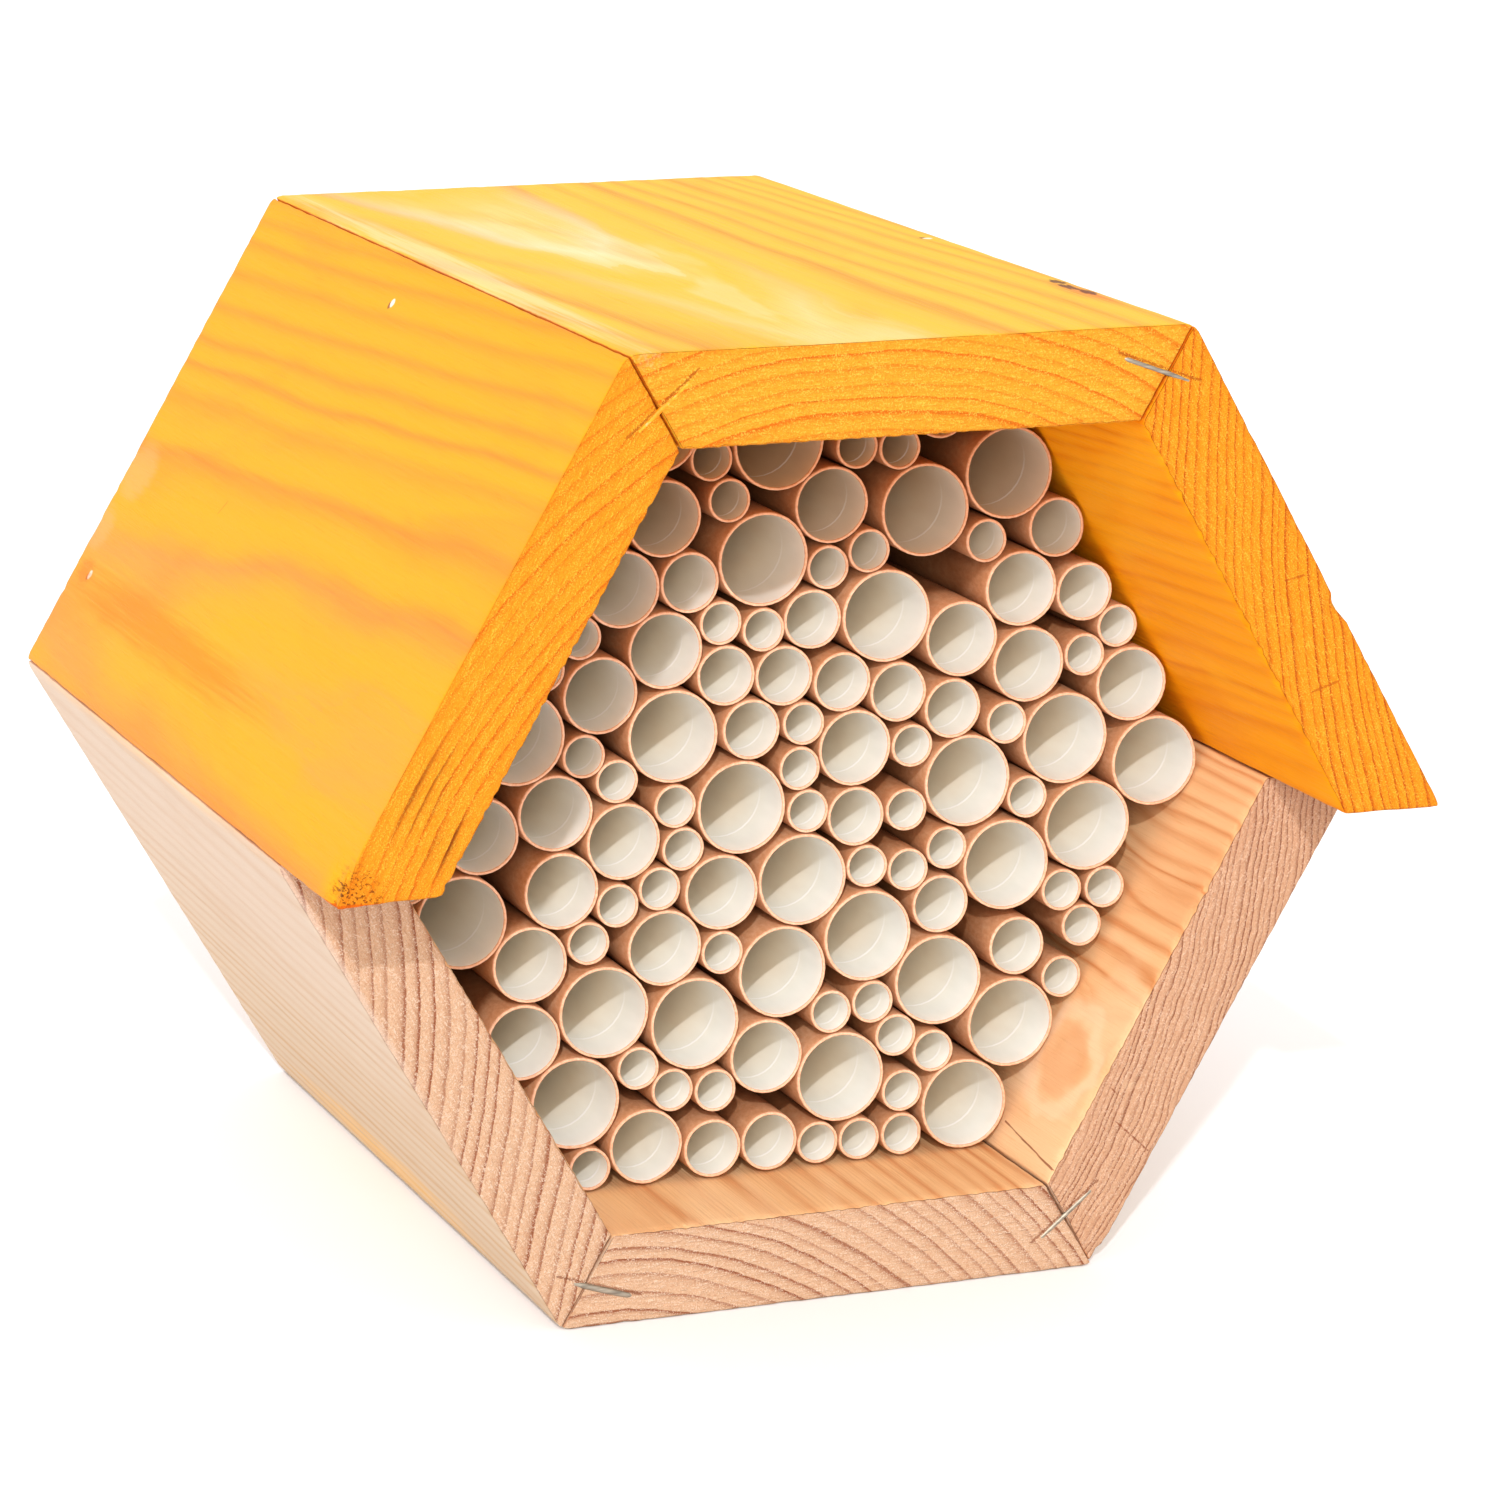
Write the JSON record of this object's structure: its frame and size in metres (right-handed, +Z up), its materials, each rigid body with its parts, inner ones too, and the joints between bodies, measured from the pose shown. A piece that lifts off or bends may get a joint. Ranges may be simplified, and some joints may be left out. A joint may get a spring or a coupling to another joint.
{
  "type": "insect hotel",
  "caption": "Hexagonal wooden insect hotel: mitred boards, a yellow painted overhanging roof, a recessed back panel with a wall hanger, and a fill of loose paper nest tubes in mixed bores.",
  "frame": {"origin": "centre of the bounding box at its bottom, on the underside of the floor board", "axes": "+Z up, the open front faces -Y, +X to the right when looking into the front"},
  "size_m": [0.1352, 0.1304, 0.1178],
  "materials": {
    "painted_pine": "thin yellow-orange stain over sawn pine, grain showing",
    "bare_pine": "bare sawn pine",
    "plywood": "bare thin plywood",
    "nest_paper": "rolled kraft paper with a white liner",
    "staple_wire": "bright galvanised wire",
    "brad_steel": "bare steel",
    "hanger_sheet": "brassed sheet"
  },
  "bodies": {
    "housing": {"roof_board_top": "painted_pine", "roof_board_right": "painted_pine", "wall_board_right": "bare_pine", "floor_board": "bare_pine", "wall_board_left": "bare_pine", "roof_board_left": "painted_pine", "back_panel": "plywood", "staple_roof_right": "staple_wire", "staple_roof_left": "staple_wire", "staple_floor_right": "staple_wire", "staple_floor_left": "staple_wire", "staple_rear_top_right": "staple_wire", "staple_rear_top_left": "staple_wire", "staple_rear_low_right": "staple_wire", "staple_rear_low_left": "staple_wire", "brad_mitre_roof_board_top": "brad_steel", "brad_panel_roof_board_top": "brad_steel", "brad_mitre_roof_board_right": "brad_steel", "brad_panel_roof_board_right": "brad_steel", "brad_mitre_wall_board_right": "brad_steel", "brad_panel_wall_board_right": "brad_steel", "brad_mitre_floor_board": "brad_steel", "brad_panel_floor_board": "brad_steel", "brad_mitre_wall_board_left": "brad_steel", "brad_panel_wall_board_left": "brad_steel", "brad_mitre_roof_board_left": "brad_steel", "brad_panel_roof_board_left": "brad_steel", "hanger": "hanger_sheet", "hanger_nail_left": "brad_steel", "hanger_nail_right": "brad_steel"},
    "tubes": {"tube_wide_01": "nest_paper", "tube_wide_02": "nest_paper", "tube_wide_03": "nest_paper", "tube_wide_04": "nest_paper", "tube_wide_05": "nest_paper", "tube_wide_06": "nest_paper", "tube_wide_07": "nest_paper", "tube_wide_08": "nest_paper", "tube_wide_09": "nest_paper", "tube_wide_10": "nest_paper", "tube_wide_12": "nest_paper", "tube_wide_13": "nest_paper", "tube_wide_14": "nest_paper", "tube_wide_15": "nest_paper", "tube_wide_16": "nest_paper", "tube_wide_17": "nest_paper", "tube_wide_18": "nest_paper", "tube_wide_19": "nest_paper", "tube_wide_20": "nest_paper", "tube_wide_21": "nest_paper", "tube_wide_22": "nest_paper", "tube_wide_23": "nest_paper", "tube_wide_24": "nest_paper", "tube_wide_25": "nest_paper", "tube_wide_26": "nest_paper", "tubes_narrow_left": "nest_paper", "tubes_narrow_low": "nest_paper", "tubes_narrow_right": "nest_paper", "tube_narrow_single": "nest_paper"},
    "loose_tube": {"tube_wide_11": "nest_paper"}
  },
  "joints": [
    {"name": "tubes_pull_out", "type": "slide", "parent": "housing", "child": "tubes", "axis": [0, -1, 0], "range_m": [0, 0.125]},
    {"name": "single_tube_pull_out", "type": "slide", "parent": "tubes", "child": "loose_tube", "axis": [0, -1, 0], "range_m": [0, 0.09]}
  ]
}
